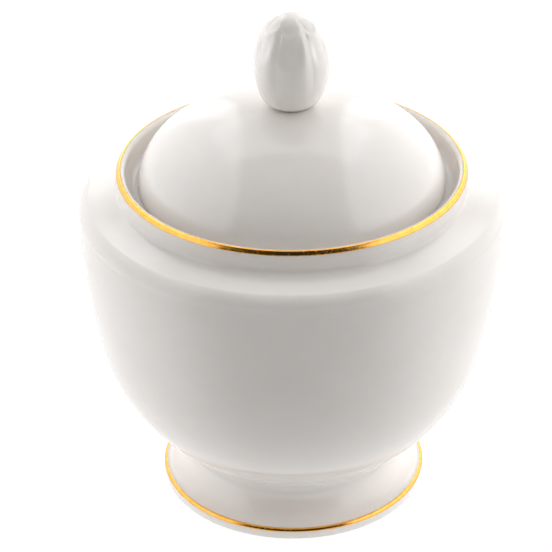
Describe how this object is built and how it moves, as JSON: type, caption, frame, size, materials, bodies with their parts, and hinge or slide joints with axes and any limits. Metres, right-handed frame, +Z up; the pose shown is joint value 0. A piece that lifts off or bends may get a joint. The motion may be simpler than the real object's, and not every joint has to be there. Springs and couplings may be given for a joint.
{
  "type": "sugar bowl",
  "caption": "Round lidded bowl on a flared foot, with a domed lift-off lid, a bud-shaped knob and gold lines round its rim and foot.",
  "frame": {"origin": "centre of the foot's ground ring, on the surface that the bowl stands on", "axes": "+Z up along the axis of the bowl, towards the knob; X and Y are alike, because the object is round"},
  "size_m": [0.1068, 0.1068, 0.131],
  "materials": {
    "bowl_porcelain": "clear glossy glaze over white porcelain",
    "rim_gilt": "burnished gold lustre",
    "foot_porcelain": "clear glossy glaze, unglazed on the ground ring",
    "foot_gilt": "burnished gold lustre",
    "lid_porcelain": "clear glossy glaze over white porcelain",
    "knob_porcelain": "clear glossy glaze over white porcelain"
  },
  "bodies": {
    "bowl": {"bowl_body": "bowl_porcelain", "rim_gilt_band": "rim_gilt", "pedestal_foot": "foot_porcelain", "foot_gilt_band": "foot_gilt"},
    "lid": {"lid_shell": "lid_porcelain", "lid_knob": "knob_porcelain"}
  },
  "joints": [
    {"name": "lid_lift", "type": "slide", "parent": "bowl", "child": "lid", "axis": [0, 0, 1], "range_m": [0, 0.06]}
  ]
}
